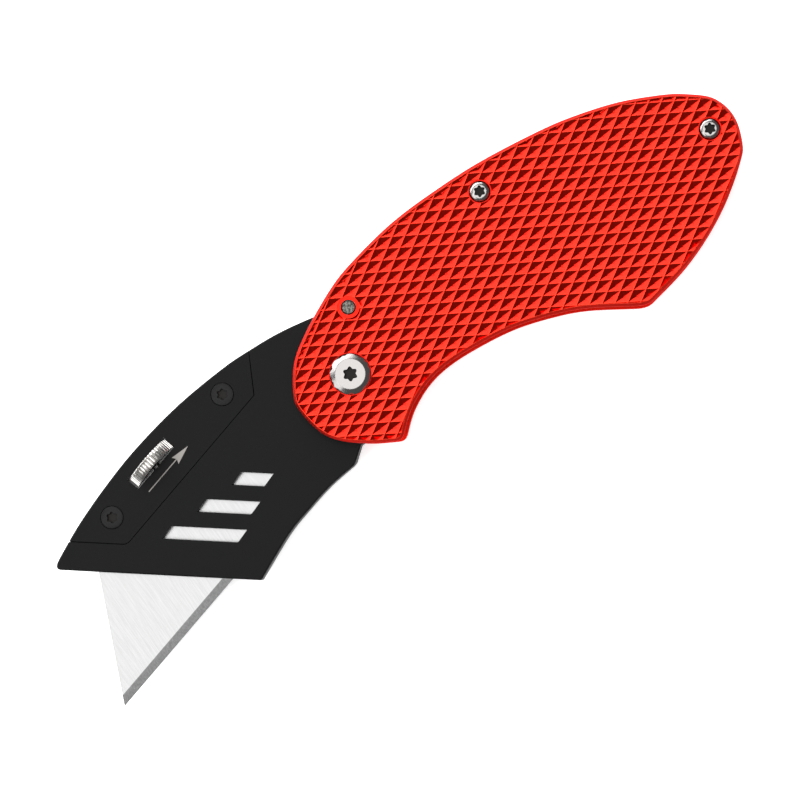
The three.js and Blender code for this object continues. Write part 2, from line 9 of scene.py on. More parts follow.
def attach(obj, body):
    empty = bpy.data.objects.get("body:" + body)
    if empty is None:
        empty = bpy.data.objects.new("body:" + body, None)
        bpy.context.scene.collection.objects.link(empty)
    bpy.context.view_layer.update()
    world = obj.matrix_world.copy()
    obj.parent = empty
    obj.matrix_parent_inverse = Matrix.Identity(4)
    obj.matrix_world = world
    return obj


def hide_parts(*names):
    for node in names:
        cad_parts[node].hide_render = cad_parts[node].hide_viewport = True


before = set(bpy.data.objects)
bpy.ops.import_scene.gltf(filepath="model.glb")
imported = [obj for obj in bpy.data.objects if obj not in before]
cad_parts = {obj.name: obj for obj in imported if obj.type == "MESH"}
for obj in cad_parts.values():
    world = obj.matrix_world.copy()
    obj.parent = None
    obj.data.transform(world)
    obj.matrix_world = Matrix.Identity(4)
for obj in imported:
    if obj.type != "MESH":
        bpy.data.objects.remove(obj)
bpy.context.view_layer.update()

# ---- Bench, camera and light -----------------------------------------------------------------------
# The knife lies open on its back scale on a white bench that is lit from within. The camera looks
# down on it from half a metre, under a large soft box overhead, a long one on the spine's side and
# a small one beyond the blade. None stands on the finger side, so facets turned that way stay dark.

camera_at = Vector((0.02761, -0.04246, 0.53399))
camera_aim = Vector((0.00424, -0.00848, 0.0054))
picture_up = math.radians(54.56)     # direction on the bench that points up in the picture

back = (camera_at - camera_aim).normalized()
right = Vector((math.cos(picture_up), math.sin(picture_up), 0)).cross(back).normalized()
camera_turn = Matrix((right, back.cross(right), back)).transposed()
camera = bpy.data.objects.new("camera", bpy.data.cameras.new("camera"))
camera.matrix_world = Matrix.Translation(camera_at) @ camera_turn.to_4x4()
camera.data.lens = 135
camera.data.clip_start = 0.01
bpy.context.scene.collection.objects.link(camera)
bpy.context.scene.camera = camera


def soft_box(name, place, aim, width, height, radiance):
    """A lamp whose face has this brightness, whatever its size."""
    lamp = bpy.data.lights.new(name, "AREA")
    lamp.shape = "RECTANGLE"
    lamp.size = width
    lamp.size_y = height
    lamp.energy = radiance * math.pi * width * height
    box = bpy.data.objects.new(name, lamp)
    box.location = place
    box.rotation_euler = (Vector(aim) - Vector(place)).to_track_quat("-Z", "Y").to_euler()
    bpy.context.scene.collection.objects.link(box)


soft_box("overhead", (-0.03, 0.06, 0.80), (0, 0, 0), 0.70, 0.70, 3.2)
soft_box("spine_side", (-0.02, 0.64, 0.38), (0, 0, 0.02), 1.50, 0.42, 6.0)
soft_box("blade_side", (-0.52, 0.02, 0.56), (0, 0, 0.02), 0.40, 0.40, 3.5)

world = bpy.data.worlds.new("studio")
world.use_nodes = True
sky = world.node_tree.nodes["Background"]
sky.inputs["Color"].default_value = (1, 1, 1, 1)
sky.inputs["Strength"].default_value = 0.22
bpy.context.scene.world = world
bpy.context.scene.view_settings.view_transform = "Standard"

floor_half = 1.5
floor_mesh = bpy.data.meshes.new("bench")
floor_mesh.from_pydata(
    [(-floor_half, -floor_half, 0), (floor_half, -floor_half, 0),
     (floor_half, floor_half, 0), (-floor_half, floor_half, 0)],
    [], [(0, 1, 2, 3)],
)
bench = bpy.data.objects.new("bench", floor_mesh)
bench.location.z = -0.0002
bpy.context.scene.collection.objects.link(bench)
white = bpy.data.materials.new("white_bench")
white.use_nodes = True
glow = white.node_tree.nodes["Principled BSDF"]
glow.inputs["Base Color"].default_value = (0.97, 0.97, 0.97, 1)
glow.inputs["Roughness"].default_value = 0.9
glow.inputs["Emission Color"].default_value = (1, 1, 1, 1)
glow.inputs["Emission Strength"].default_value = 0.6
floor_mesh.materials.append(white)

# ---- Scales ----------------------------------------------------------------------------------------
# Two milled aluminium plates, 1.8 mm thick, anodised red, with a 0.5 mm chamfer round the rim. A
# pointed cutter leaves rhombic pits 0.6 mm deep over the whole face. The pivot and the screws sit in
# counterbores cut through the pits, and the stop pin has a flat land round it.

MM = 0.001


def add(tree, kind, links=None, **settings):
    """A node with its settings, its inputs given as values or as sockets to link from."""
    made = tree.nodes.new(kind)
    for key, value in settings.items():
        setattr(made, key, value)
    for key, value in (links or {}).items():
        if isinstance(value, bpy.types.NodeSocket):
            tree.links.new(value, made.inputs[key])
        else:
            made.inputs[key].default_value = value
    return made


def new_tree(name, inputs):
    tree = bpy.data.node_groups.new(name, "GeometryNodeTree")
    tree.interface.new_socket("Geometry", in_out="OUTPUT", socket_type="NodeSocketGeometry")
    for label, kind in inputs:
        tree.interface.new_socket(label, in_out="INPUT", socket_type="NodeSocket" + kind)
    return tree, tree.nodes.new("NodeGroupInput").outputs, tree.nodes.new("NodeGroupOutput")


def mesh_object(name, verts, faces):
    mesh = bpy.data.meshes.new(name)
    mesh.from_pydata([tuple(float(c) for c in v) for v in verts], [], faces)
    mesh.validate()
    return bpy.data.objects.new(name, mesh)


def grown(name, tree, blank, values):
    """The plain mesh that a node tree makes of the blank with these input values."""
    bpy.context.scene.collection.objects.link(blank)
    modifier = blank.modifiers.new("nodes", "NODES")
    modifier.node_group = tree
    for item in tree.interface.items_tree:
        if item.in_out == "INPUT" and item.name in values:
            modifier[item.identifier] = values[item.name]
    bpy.context.view_layer.update()
    seen = blank.evaluated_get(bpy.context.evaluated_depsgraph_get())
    mesh = bpy.data.meshes.new_from_object(seen)
    mesh.name = name
    blank.modifiers.remove(modifier)
    bpy.data.objects.remove(blank)
    made = bpy.data.objects.new(name, mesh)
    bpy.context.scene.collection.objects.link(made)
    return made


def smoothed(made, degrees):
    """Smooth shading, with hard edges where two faces turn by more than this."""
    mesh = bmesh.new()
    mesh.from_mesh(made.data)
    bmesh.ops.remove_doubles(mesh, verts=mesh.verts, dist=2e-7)
    bmesh.ops.dissolve_degenerate(mesh, edges=mesh.edges, dist=1e-7)
    for face in mesh.faces:
        face.smooth = True
    for edge in mesh.edges:
        edge.smooth = edge.calc_face_angle(0) < math.radians(degrees)
    mesh.to_mesh(made.data)
    mesh.free()
    return made


def turned(name, profile, segments, at=(0, 0)):
    """A closed body turned about an upright axis, from (radius, height) pairs running up outside."""
    verts, faces, rings = [], [], []
    for radius, height in profile:
        count = segments if radius else 1
        rings.append([len(verts) + i for i in range(count)])
        for i in range(count):
            angle = 2 * math.pi * i / segments
            verts.append((at[0] + radius * math.cos(angle), at[1] + radius * math.sin(angle), height))
    for low, high in zip(rings, rings[1:]):
        for i in range(segments):
            j = (i + 1) % segments
            corners = [low[i % len(low)], low[j % len(low)], high[j % len(high)], high[i % len(high)]]
            faces.append(list(dict.fromkeys(corners)))
    return mesh_object(name, np.array(verts) * MM, faces)


def joined(name, parts):
    """One object with the meshes of several, which are used up."""
    mesh = bmesh.new()
    for part in parts:
        mesh.from_mesh(part.data)
        bpy.data.objects.remove(part)
    data = bpy.data.meshes.new(name)
    mesh.to_mesh(data)
    mesh.free()
    return bpy.data.objects.new(name, data)


def outline(node, height):
    """The longest rim of a CAD node at this height in mm, anticlockwise, as points in mm."""
    mesh = bmesh.new()
    mesh.from_mesh(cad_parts[node].data)
    bmesh.ops.remove_doubles(mesh, verts=mesh.verts, dist=1e-6)
    mesh.normal_update()
    near = {}
    for edge in mesh.edges:
        if any(abs(vert.co.z / MM - height) > 0.002 for vert in edge.verts):
            continue
        if edge.calc_face_angle(0) < 0.02:
            continue
        first, second = edge.verts
        near.setdefault(first.index, []).append(second.index)
        near.setdefault(second.index, []).append(first.index)
    mesh.verts.ensure_lookup_table()
    loops, left = [], set(near)
    while left:
        loop = [left.pop()]
        while True:
            following = [i for i in near[loop[-1]] if i in left]
            if not following:
                break
            left.discard(following[0])
            loop.append(following[0])
        loops.append(np.array([mesh.verts[i].co[:2] for i in loop]) / MM)
    mesh.free()
    loop = max(loops, key=lambda points: abs(signed_area(points)))
    return loop if signed_area(loop) > 0 else loop[::-1]


def signed_area(points):
    x, y = points[:, 0], points[:, 1]
    return 0.5 * float(np.sum(x * np.roll(y, -1) - np.roll(x, -1) * y))


def refined(points, step):
    """A smooth curve through a closed loop of points, with about this step in mm."""
    result = []
    for before, start, end, after in zip(np.roll(points, 1, 0), points, np.roll(points, -1, 0),
                                         np.roll(points, -2, 0)):
        length = np.linalg.norm(end - start)
        lead = (end - before) / (np.linalg.norm(start - before) + length) * length
        trail = (after - start) / (np.linalg.norm(after - end) + length) * length
        for t in np.arange(max(1, round(length / step))) / max(1, round(length / step)):
            result.append(
                (2 * t**3 - 3 * t**2 + 1) * start + (t**3 - 2 * t**2 + t) * lead
                + (3 * t**2 - 2 * t**3) * end + (t**3 - t**2) * trail
            )
    return np.array(result)


def inset(points, distance):
    """An anticlockwise loop moved inwards by this distance."""
    along = np.roll(points, -1, 0) - np.roll(points, 1, 0)
    along /= np.linalg.norm(along, axis=1)[:, None]
    return points + distance * np.stack([-along[:, 1], along[:, 0]], 1)


def plate(name, points, rings):
    """A closed plate with rounded rims, from (inset, height) rings running up its wall."""
    verts, faces = [], []
    count = len(points)
    for distance, height in rings:
        verts.extend((x, y, height) for x, y in inset(points, distance))
    for ring in range(len(rings) - 1):
        for i in range(count):
            j = (i + 1) % count
            base = ring * count
            faces.append([base + i, base + j, base + count + j, base + count + i])
    faces.append(list(range(count))[::-1])
    faces.append([(len(rings) - 1) * count + i for i in range(count)])
    return mesh_object(name, np.array(verts) * MM, faces)


scale_rim = refined(outline("front_scale", 10.3), 0.45)
inner_face, outer_face = 9.0, 10.8   # heights of the front scale's two faces
# (inset, height) up the wall and over the chamfer
rounded_rim = [(0, 10.27), (0.035, 10.34), (0.42, 10.72), (0.47, 10.77), (0.53, 10.79), (0.60, outer_face)]
front_draft = 0.14                   # how far the front scale's wall leans in at the liner
front_blank = plate("front_blank", scale_rim, [(front_draft, inner_face)] + rounded_rim)
back_blank = plate("back_blank", scale_rim, [(0, inner_face)] + rounded_rim)

screw_places = [(37.0, 12.85), (75.9, -1.75)]
pin_place = (6.5, 9.75)
seats = [                            # the hole through the plate, then the counterbore down to its floor
    turned("seat", [
        (0, 8), (hole, 8), (hole, floor), (radius, floor), (radius, 11.5), (0, 11.5),
    ], segments, place)
    for hole, floor, radius, segments, place in [
        (2.65, 9.7, 3.8, 72, (0, 0)),
        (1.25, 9.7, 2.1, 48, screw_places[0]),
        (1.25, 9.7, 2.1, 48, screw_places[1]),
        (1.35, 10.45, 1.95, 48, pin_place),
    ]
]
seats = joined("seats", seats)

pit_side = 2.258                     # from one ridge's middle to the next, along the other ridges
pit_turn = math.radians(31.87)       # ridges cross at twice this
pit_depth, ridge = 0.58, 0.08
crease = 0.045                       # half the width of the flat left along each pit's long diagonal
half_long = pit_side * math.cos(pit_turn)
half_short = pit_side * math.sin(pit_turn)
pit_share = 1 - ridge / (2 * half_long * half_short / pit_side)
punch_rings = [(0.05, -pit_depth), (0.965, -0.035), (1.0, 0), (1.0, 0.4)]
corners = 6
punch_verts = []
for share, height in punch_rings:
    long_reach, short_reach = share * pit_share * half_long, share * pit_share * half_short + crease
    punch_verts.extend([
        (long_reach, -crease, height), (long_reach, crease, height), (0, short_reach, height),
        (-long_reach, crease, height), (-long_reach, -crease, height), (0, -short_reach, height),
    ])
last_ring = corners * (len(punch_rings) - 1)
punch_faces = [list(range(corners))[::-1], [last_ring + i for i in range(corners)]]
for base in range(0, last_ring, corners):
    for i in range(corners):
        j = (i + 1) % corners
        punch_faces.append([base + i, base + j, base + corners + j, base + corners + i])
punch = mesh_object("punch", np.array(punch_verts) * MM, punch_faces)

border_width = 0.56
border = plate("border", inset(scale_rim, border_width), [(0, 9.5), (0, 11)])
pin_land = turned("pin_land", [(0, 9), (1.98, 9), (1.98, 12), (0, 12)], 48, pin_place)

pits, given, made = new_tree("pitted_plate", [
    ("Plate", "Geometry"), ("Punch", "Object"), ("Border", "Object"), ("Land", "Object"),
    ("Seats", "Object"), ("Across", "Vector"), ("Along", "Vector"), ("Start", "Vector"),
    ("Count", "Int"), ("Low corner", "Vector"), ("High corner", "Vector"), ("Material", "Material"),
])
cells = add(pits, "GeometryNodeMeshGrid", {"Vertices X": given["Count"], "Vertices Y": given["Count"]})
index = add(pits, "GeometryNodeInputIndex").outputs[0]
column = add(pits, "FunctionNodeIntegerMath", {0: index, 1: given["Count"]}, operation="MODULO").outputs[0]
row = add(pits, "FunctionNodeIntegerMath", {0: index, 1: given["Count"]}, operation="DIVIDE").outputs[0]
sideways = add(pits, "ShaderNodeVectorMath", {0: given["Across"], "Scale": column},
               operation="SCALE").outputs[0]
lengthways = add(pits, "ShaderNodeVectorMath", {0: given["Along"], "Scale": row},
                 operation="SCALE").outputs[0]
both = add(pits, "ShaderNodeVectorMath", {0: sideways, 1: lengthways}, operation="ADD").outputs[0]
place = add(pits, "ShaderNodeVectorMath", {0: both, 1: given["Start"]}, operation="ADD").outputs[0]
spread = add(pits, "GeometryNodeSetPosition", {"Geometry": cells.outputs[0], "Position": place}).outputs[0]
where = add(pits, "GeometryNodeInputPosition").outputs[0]
above = add(pits, "FunctionNodeCompare", {4: where, 5: given["Low corner"]},
            data_type="VECTOR", operation="GREATER_THAN", mode="ELEMENT").outputs[0]
below = add(pits, "FunctionNodeCompare", {4: where, 5: given["High corner"]},
            data_type="VECTOR", operation="LESS_THAN", mode="ELEMENT").outputs[0]
inside = add(pits, "FunctionNodeBooleanMath", {0: above, 1: below}, operation="AND").outputs[0]
one_punch = add(pits, "GeometryNodeObjectInfo", {"Object": given["Punch"]}).outputs["Geometry"]
stamped = add(pits, "GeometryNodeInstanceOnPoints",
              {"Points": spread, "Selection": inside, "Instance": one_punch}).outputs[0]
loose = add(pits, "GeometryNodeRealizeInstances", {"Geometry": stamped}).outputs[0]
border_mesh = add(pits, "GeometryNodeObjectInfo", {"Object": given["Border"]}).outputs["Geometry"]
land_mesh = add(pits, "GeometryNodeObjectInfo", {"Object": given["Land"]}).outputs["Geometry"]
seat_mesh = add(pits, "GeometryNodeObjectInfo", {"Object": given["Seats"]}).outputs["Geometry"]
field = add(pits, "GeometryNodeMeshBoolean", {"Mesh 1": border_mesh, "Mesh 2": land_mesh},
            operation="DIFFERENCE", solver="MANIFOLD").outputs[0]
trimmed = add(pits, "GeometryNodeMeshBoolean", operation="INTERSECT", solver="MANIFOLD")
pits.links.new(loose, trimmed.inputs["Mesh 2"])
pits.links.new(field, trimmed.inputs["Mesh 2"])
cut = add(pits, "GeometryNodeMeshBoolean", {"Mesh 1": given["Plate"]},
          operation="DIFFERENCE", solver="MANIFOLD")
pits.links.new(trimmed.outputs[0], cut.inputs["Mesh 2"])
pits.links.new(seat_mesh, cut.inputs["Mesh 2"])
whole = add(pits, "GeometryNodeRealizeInstances", {"Geometry": cut.outputs[0]}).outputs[0]
coloured = add(pits, "GeometryNodeSetMaterial",
               {"Geometry": whole, "Material": given["Material"]}).outputs[0]
pits.links.new(coloured, made.inputs[0])


def new_material(name, color, metallic, roughness, **inputs):
    material = bpy.data.materials.new(name)
    material.use_nodes = True
    shader = material.node_tree.nodes["Principled BSDF"]
    shader.inputs["Base Color"].default_value = (*color, 1)
    shader.inputs["Metallic"].default_value = metallic
    shader.inputs["Roughness"].default_value = roughness
    for key, value in inputs.items():
        shader.inputs[key.replace("_", " ")].default_value = value
    return material


def grain(material, scale, strength, stretch=(1, 1, 1), turn=0.0, detail=2.0):
    """Fine relief: noise in the object's own space, drawn out along one direction."""
    tree = material.node_tree
    space = add(tree, "ShaderNodeTexCoord").outputs["Object"]
    mapped = add(tree, "ShaderNodeMapping", {"Vector": space, "Rotation": (0, 0, turn), "Scale": stretch})
    noise = add(tree, "ShaderNodeTexNoise",
                {"Vector": mapped.outputs[0], "Scale": scale, "Detail": detail}).outputs[0]
    bump = add(tree, "ShaderNodeBump", {"Height": noise, "Strength": strength, "Distance": 0.0001})
    tree.links.new(bump.outputs[0], tree.nodes["Principled BSDF"].inputs["Normal"])
    return noise


# dye is the anodising's own red. The second, lighter and pinker colour is a painted highlight for the flat
# ridge tops.
dye, painted_highlight_dye = (0.55, 0.0080, 0.0020, 1), (0.58, 0.030, 0.012, 1)
red = new_material("red_anodised", dye[:3], 1.0, 0.32, Coat_Weight=0.10, Coat_Roughness=0.2)
grain(red, 9000, 0.10)
red_tree = red.node_tree
height = add(red_tree, "ShaderNodeSeparateXYZ",
             {0: add(red_tree, "ShaderNodeTexCoord").outputs["Object"]}).outputs["Z"]
# Painted highlight: from 10.70 mm up, the front scale's ridge tops and the top of its rounded rim are mixed
# towards the lighter red. It stands in for the overhead light that these upward faces catch.
ridge_highlight_mask = add(red_tree, "ShaderNodeMapRange", {
    "Value": height, "From Min": 10.70 * MM, "From Max": 10.79 * MM, "To Min": 0, "To Max": 1,
}).outputs[0]
painted_ridge_highlight = add(red_tree, "ShaderNodeMix", {"Factor": ridge_highlight_mask, 6: dye, 7: painted_highlight_dye}, data_type="RGBA").outputs[2]
red_tree.links.new(painted_ridge_highlight, red_tree.nodes["Principled BSDF"].inputs["Base Color"])

step_across = Vector((math.cos(pit_turn), math.sin(pit_turn), 0)) * pit_side * MM
step_along = Vector((math.cos(pit_turn), -math.sin(pit_turn), 0)) * pit_side * MM
crossing = Vector((-1.12, 9.33, outer_face)) * MM
pit_rows, rows_before = 90, 30       # rows laid each way, and how many of them lie before the crossing
first_pit = crossing + Vector((half_long * MM, 0, 0)) - rows_before * (step_across + step_along)
low_corner, high_corner = (-0.014, -0.024, 0), (0.084, 0.022, 1)


def scale(name, blank):
    """A blank with the pits and the seats cut into its upper face."""
    return grown(name, pits, blank, {
        "Punch": punch, "Border": border, "Land": pin_land, "Seats": seats,
        "Across": step_across, "Along": step_along, "Start": first_pit, "Count": pit_rows,
        "Low corner": low_corner, "High corner": high_corner, "Material": red,
    })


front_scale = smoothed(scale("scale_front", front_blank), 14)
back_scale = scale("scale_back", back_blank)
back_scale.data.transform(Matrix.Translation((0, 0, outer_face * MM)) @ Matrix.Diagonal((1, 1, -1, 1)))
back_scale.data.flip_normals()
smoothed(back_scale, 14)
for cad_name, made_scale in (("front_scale", front_scale), ("back_scale", back_scale)):
    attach(made_scale, "handle")
    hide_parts(cad_name)
for used in (punch, border, pin_land, seats):
    bpy.data.objects.remove(used)

# ---- Screws ----------------------------------------------------------------------------------------
# Stainless button heads with six-lobed sockets hold the scales, a wide flat-faced one closes the
# pivot, and two black ones hold the carrier's cover. Heads are turned, the sockets are broached.

socket_screw, given, made = new_tree("socket_screw", [
    ("Places", "Geometry"), ("Blank", "Object"), ("Socket", "Object"), ("Turn", "Rotation"),
    ("Socket floor", "Float"), ("Socket mouth", "Float"), ("Socket reach", "Float"),
    ("Material", "Material"), ("Socket shade material", "Material"),
])
blank_mesh = add(socket_screw, "GeometryNodeObjectInfo", {"Object": given["Blank"]}).outputs["Geometry"]
socket_mesh = add(socket_screw, "GeometryNodeObjectInfo", {"Object": given["Socket"]}).outputs["Geometry"]
broached = add(socket_screw, "GeometryNodeMeshBoolean", {"Mesh 1": blank_mesh, "Mesh 2": socket_mesh},
               operation="DIFFERENCE", solver="MANIFOLD").outputs[0]
bright = add(socket_screw, "GeometryNodeSetMaterial",
             {"Geometry": broached, "Material": given["Material"]}).outputs[0]
where = add(socket_screw, "GeometryNodeInputPosition").outputs[0]
rise = add(socket_screw, "ShaderNodeSeparateXYZ", {0: where}).outputs["Z"]
flat = add(socket_screw, "ShaderNodeVectorMath", {0: where, 1: (1, 1, 0)}, operation="MULTIPLY").outputs[0]
reach = add(socket_screw, "ShaderNodeVectorMath", {0: flat}, operation="LENGTH").outputs["Value"]
over = add(socket_screw, "FunctionNodeCompare", {0: rise, 1: given["Socket floor"]},
           operation="GREATER_THAN").outputs[0]
under = add(socket_screw, "FunctionNodeCompare", {0: rise, 1: given["Socket mouth"]},
            operation="LESS_THAN").outputs[0]
near = add(socket_screw, "FunctionNodeCompare", {0: reach, 1: given["Socket reach"]},
           operation="LESS_THAN").outputs[0]
between = add(socket_screw, "FunctionNodeBooleanMath", {0: over, 1: under}, operation="AND").outputs[0]
within = add(socket_screw, "FunctionNodeBooleanMath", {0: between, 1: near}, operation="AND").outputs[0]
# Painted shade: the faces inside each socket, between its floor and its mouth, get a near-black material.
painted_socket_shade = add(socket_screw, "GeometryNodeSetMaterial",
            {"Geometry": bright, "Selection": within, "Material": given["Socket shade material"]}).outputs[0]
standing = add(socket_screw, "GeometryNodeInstanceOnPoints",
               {"Points": given["Places"], "Instance": painted_socket_shade, "Rotation": given["Turn"]}).outputs[0]
whole = add(socket_screw, "GeometryNodeRealizeInstances", {"Geometry": standing}).outputs[0]
socket_screw.links.new(whole, made.inputs[0])


def socket(radius, low, high):
    """A six-lobed broach with a short taper at its mouth."""
    steps, taper, lobe_depth = 72, 0.06, 0.13
    rings = [(radius, low), (radius, high - taper), (radius + taper, high), (radius + taper, high + 0.5)]
    verts, faces = [], []
    for reach, z in rings:
        for i in range(steps):
            angle = 2 * math.pi * i / steps
            lobe = reach * (1 - lobe_depth + lobe_depth * math.cos(6 * angle))
            verts.append((lobe * math.cos(angle), lobe * math.sin(angle), z))
    top = steps * (len(rings) - 1)
    for base in range(0, top, steps):
        for i in range(steps):
            j = (i + 1) % steps
            faces.append([base + i, base + j, base + steps + j, base + steps + i])
    faces.append(list(range(steps))[::-1])
    faces.append([top + i for i in range(steps)])
    return mesh_object("socket", np.array(verts) * MM, faces)


def screws(name, profile, radius, floor, places, material, body, nodes, flipped=False):
    """Screws of one kind, with heads of this profile and sockets of this radius down to the floor."""
    top, margin = profile[-1][1], 0.02
    broach = socket(radius, floor, top)
    blank = turned("blank", profile, 96)
    spots = mesh_object("spots", np.array([(x, y, outer_face if flipped else 0) for x, y in places]) * MM, [])
    group = grown(name, socket_screw, spots, {
        "Blank": blank, "Socket": broach, "Turn": (math.pi if flipped else 0, 0, 0),
        "Socket floor": (floor - margin) * MM, "Socket mouth": (top - margin) * MM,
        "Socket reach": (radius + 0.12) * MM, "Material": material, "Socket shade material": painted_shade_steel,
    })
    bpy.data.objects.remove(blank)
    bpy.data.objects.remove(broach)
    smoothed(group, 28)
    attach(group, body)
    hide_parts(*nodes)


stainless = new_material("stainless", (0.24, 0.232, 0.226), 1.0, 0.22)
grain(stainless, 5000, 0.10)
# Near-black steel for the sockets' inner faces: painted shade in the recesses.
painted_shade_steel = new_material("painted_shade_steel", (0.010, 0.009, 0.008), 0.6, 0.45, Specular_IOR_Level=0.2)
black_oxide = new_material("black_oxide", (0.0050, 0.0050, 0.0052), 0.0, 0.38, Specular_IOR_Level=0.12)
grain(black_oxide, 7000, 0.08)

head_profile = [
    (0, 5.7), (1.0, 5.7), (1.1, 5.8), (1.1, 9.8), (1.82, 9.8), (1.9, 9.88), (1.9, 10.05),
    (1.83, 10.22), (1.66, 10.42), (1.42, 10.56), (1.20, 10.63), (1.1, 10.65), (0, 10.65),
]
screws("front_screws", head_profile, 1.0, 9.85, screw_places, stainless,
       "handle", ["front_screw_middle", "front_screw_tail"])
screws("back_screws", head_profile, 1.0, 9.85, screw_places, stainless,
       "handle", ["back_screw_middle", "back_screw_tail"], flipped=True)
screws("pivot_head", [
    (0, 3), (1.3, 3), (1.4, 3.1), (1.4, 9.8), (3.57, 9.8), (3.65, 9.88), (3.65, 10.18), (3.60, 10.26),
    (2.74, 10.66), (2.66, 10.69), (2.58, 10.7), (0, 10.7),
], 1.27, 9.85, [(0, 0)], stainless, "handle", ["pivot_screw"])

blade_middle, blade_lean = (-37.5, -16.9), math.radians(14)
lean_cos, lean_sin = math.cos(blade_lean), math.sin(blade_lean)


def on_blade(along, up):
    """A place given along the blade from its middle and up from its cutting edge, in mm."""
    return (blade_middle[0] + along * lean_cos - up * lean_sin,
            blade_middle[1] + along * lean_sin + up * lean_cos)


cover_profile = [
    (0, 4.6), (0.72, 4.6), (0.8, 4.7), (0.8, 6.8), (1.95, 6.8), (2.0, 6.85), (2.0, 7.5), (1.97, 7.57),
    (1.9, 7.6), (0, 7.6),
]
screws("cover_screws", cover_profile, 0.98, 6.95, [on_blade(-6.4, 23.3), on_blade(22.9, 22.55)],
       black_oxide, "carrier", ["cover_screw_front", "cover_screw_rear"])

# ---- Pivot barrel and stop pin ---------------------------------------------------------------------
# Turned steel. The barrel's flat head fills the counterbore in the back scale; the pin is cropped
# bar, its ends blasted dull.

barrel = smoothed(turned("pivot_tube", [
    (0, 0), (3.55, 0), (3.65, 0.1), (3.65, 1.0), (2.5, 1.0), (2.5, 9.55), (2.45, 9.6), (1.55, 9.6), (1.55, 2),
    (0, 2),
], 96), 30)
pin = smoothed(turned("stop_pin_bar", [
    (0, 0.25), (1.08, 0.25), (1.2, 0.37), (1.2, 10.43), (1.08, 10.55), (0, 10.55),
], 48, pin_place), 30)
blasted = new_material("blasted_steel", (0.075, 0.070, 0.062), 1.0, 0.42)
blotches = add(blasted.node_tree, "ShaderNodeMapRange", {
    "Value": grain(blasted, 3200, 0.9), "From Min": 0.38, "From Max": 0.62, "To Min": 0, "To Max": 1,
}).outputs[0]
mottled = add(blasted.node_tree, "ShaderNodeMix", {
    "Factor": blotches, 6: (0.035, 0.031, 0.026, 1), 7: (0.150, 0.142, 0.130, 1),
}, data_type="RGBA").outputs[2]
blasted.node_tree.links.new(mottled, blasted.node_tree.nodes["Principled BSDF"].inputs["Base Color"])
for made_piece, finish, cad_name in ((barrel, stainless, "pivot_barrel"), (pin, blasted, "stop_pin")):
    bpy.context.scene.collection.objects.link(made_piece)
    made_piece.data.materials.append(finish)
    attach(made_piece, "handle")
    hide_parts(cad_name)

# ---- Liners, lock leaf, washers, standoffs and spacer ----------------------------------------------
# Pieces between the scales. The liners and the leaf are stamped stainless, the washers phosphor
# bronze, the standoffs turned steel and the spacer moulded black plastic.


def finish(nodes, material):
    """Puts one material in every slot of these CAD nodes."""
    for name in nodes:
        for piece_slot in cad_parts[name].material_slots:
            piece_slot.material = material


liner_steel = new_material("liner_steel", (0.26, 0.26, 0.265), 1.0, 0.35)
grain(liner_steel, 2500, 0.12, (1, 8, 1))
bronze = new_material("phosphor_bronze", (0.34, 0.20, 0.08), 1.0, 0.32)
grain(bronze, 5000, 0.08)
plastic = new_material("black_plastic", (0.012, 0.012, 0.012), 0.0, 0.55)
grain(plastic, 3500, 0.25)
finish(["front_liner", "back_liner", "lock_leaf"], liner_steel)
finish(["front_washer", "back_washer"], bronze)
finish(["standoff_middle", "standoff_tail", "detent_ball", "wheel_spindle", "latch_bar"], stainless)
finish(["back_spacer"], plastic)

# ---- Carrier ---------------------------------------------------------------------------------------
# The blade carrier and its cover are milled from aluminium, bead blasted and anodised black, with
# fine tool lines left running across the blade.

black = new_material("black_anodised", (0.0036, 0.0036, 0.0037), 0.0, 0.46, Specular_IOR_Level=0.075)
grain(black, 1600, 0.16, (1, 14, 1), -blade_lean, 4)
finish(["carrier_body", "carrier_cover"], black)

# ---- Arrow mark ------------------------------------------------------------------------------------
# A printed arrow on the cover, beside the thumbwheel, shows which way the wheel releases the blade.
# The ink stands 0.01 mm above the anodising.

ink = new_material("grey_ink", (0.24, 0.225, 0.21), 0.0, 0.7, Specular_IOR_Level=0.2)
tail_end, tip = Vector((-41.33, 4.05)), Vector((-30.96, 6.63))
run = (tip - tail_end).normalized()
side = Vector((-run.y, run.x))
neck = tip - 3.1 * run
barb = neck - 0.4 * run
half_line, half_head = 0.09 * side, 0.82 * side
arrow = [
    tail_end - half_line, neck - half_line, barb - half_head, tip,
    barb + half_head, neck + half_line, tail_end + half_line,
]
count = len(arrow)
mark = mesh_object(
    "arrow_mark", [(x * MM, y * MM, z * MM) for z in (7.59, 7.61) for x, y in arrow],
    [list(range(count))[::-1], [count + i for i in range(count)]]
    + [[i, (i + 1) % count, count + (i + 1) % count, count + i] for i in range(count)],
)
bpy.context.scene.collection.objects.link(mark)
mark.data.materials.append(ink)
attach(mark, "carrier")

# ---- Blade -----------------------------------------------------------------------------------------
# A standard trapezoid blade of hardened carbon steel strip. Its faces are ground bright, and the
# bevel along the cutting edge, 1.5 mm wide, is ground across.

